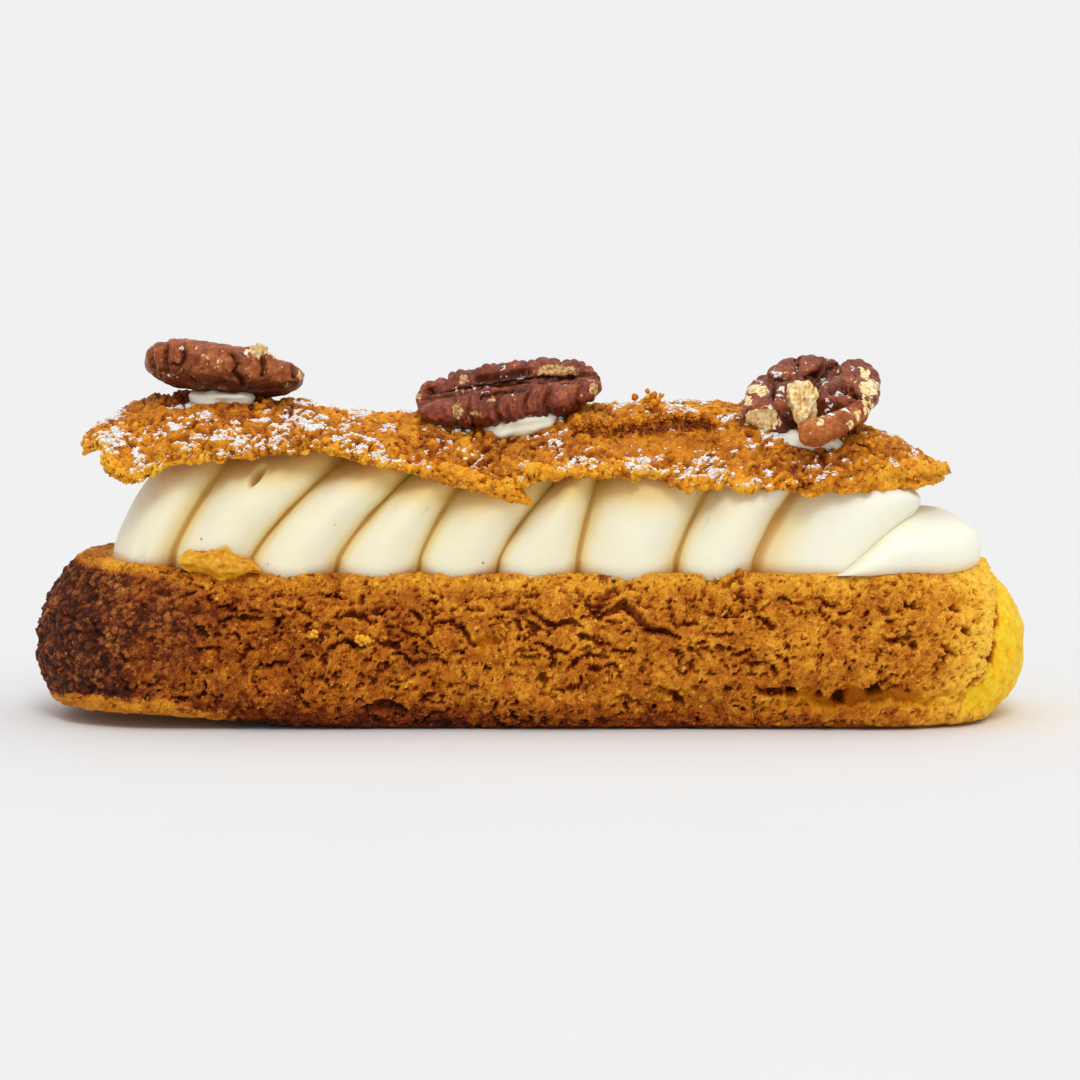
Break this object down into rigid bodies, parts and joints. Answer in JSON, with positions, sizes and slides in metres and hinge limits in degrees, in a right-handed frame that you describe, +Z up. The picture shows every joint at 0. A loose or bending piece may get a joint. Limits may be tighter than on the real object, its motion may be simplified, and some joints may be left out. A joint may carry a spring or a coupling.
{
  "type": "eclair",
  "caption": "Filled eclair: craggy choux base, leaning rope of piped cream, thin curved choux lid dusted with sugar, pecan halves on dabs of cream, and a piece of cooked fruit.",
  "frame": {"origin": "middle of the flat underside, on the surface that the eclair stands on", "axes": "+X along the length, to the right as seen from the front, +Z up, front facing -Y"},
  "size_m": [0.1406, 0.0407, 0.0533],
  "materials": {
    "choux": "baked choux under a craggy golden brown biscuit crust, darker at one end, dry and matt",
    "cream": "ivory piped cream with vanilla specks, satin and slightly see-through at the edges",
    "pecan": "reddish brown wrinkled nut skin with pale flesh where it is rubbed or broken",
    "fruit": "amber cooked fruit, moist and slightly see-through"
  },
  "bodies": {
    "root": {"choux_base": "choux", "cream_rope": "cream", "choux_lid": "choux", "pecan_left": "pecan", "pecan_middle": "pecan", "pecan_right": "pecan", "cream_dab_left": "cream", "cream_dab_middle": "cream", "cream_dab_right": "cream", "fruit_piece": "fruit"}
  },
  "joints": []
}
